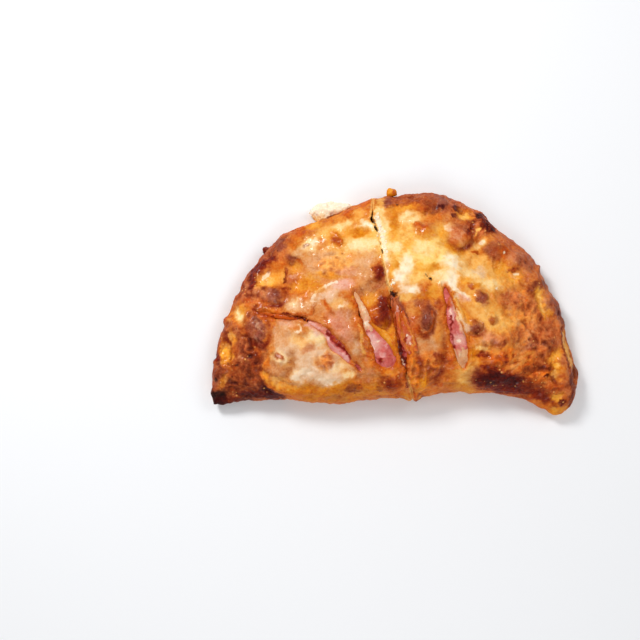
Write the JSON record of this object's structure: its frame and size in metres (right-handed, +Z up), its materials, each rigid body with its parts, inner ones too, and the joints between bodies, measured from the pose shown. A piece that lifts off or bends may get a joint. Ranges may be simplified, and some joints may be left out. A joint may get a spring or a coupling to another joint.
{
  "type": "calzone",
  "caption": "Half-moon folded and baked pizza with browned dough, snipped slits showing ham and cheese, and a knife cut across its middle.",
  "frame": {"origin": "middle of the footprint, on the surface it rests on", "axes": "+Z up; +X along the length, from the square left corner to the rounded right corner; +Y from the fold to the sealed round edge"},
  "size_m": [0.2758, 0.1714, 0.0473],
  "materials": {
    "crust": "baked pizza dough, golden to dark brown, lightly oiled",
    "filling": "melted cheese and ham",
    "ham": "moist cooked ham",
    "melted_cheese": "melted white cheese",
    "baked_cheese": "browned cheese"
  },
  "bodies": {
    "root": {"crust_left": "crust", "crust_right": "crust", "filling_left": "filling", "filling_right": "filling", "ham_slice_a": "ham", "ham_slice_b": "ham", "ham_slice_c": "ham", "ham_slice_d": "ham", "cheese_ooze": "melted_cheese", "cheese_bead_back": "baked_cheese", "cheese_bead_left": "baked_cheese"}
  },
  "joints": []
}
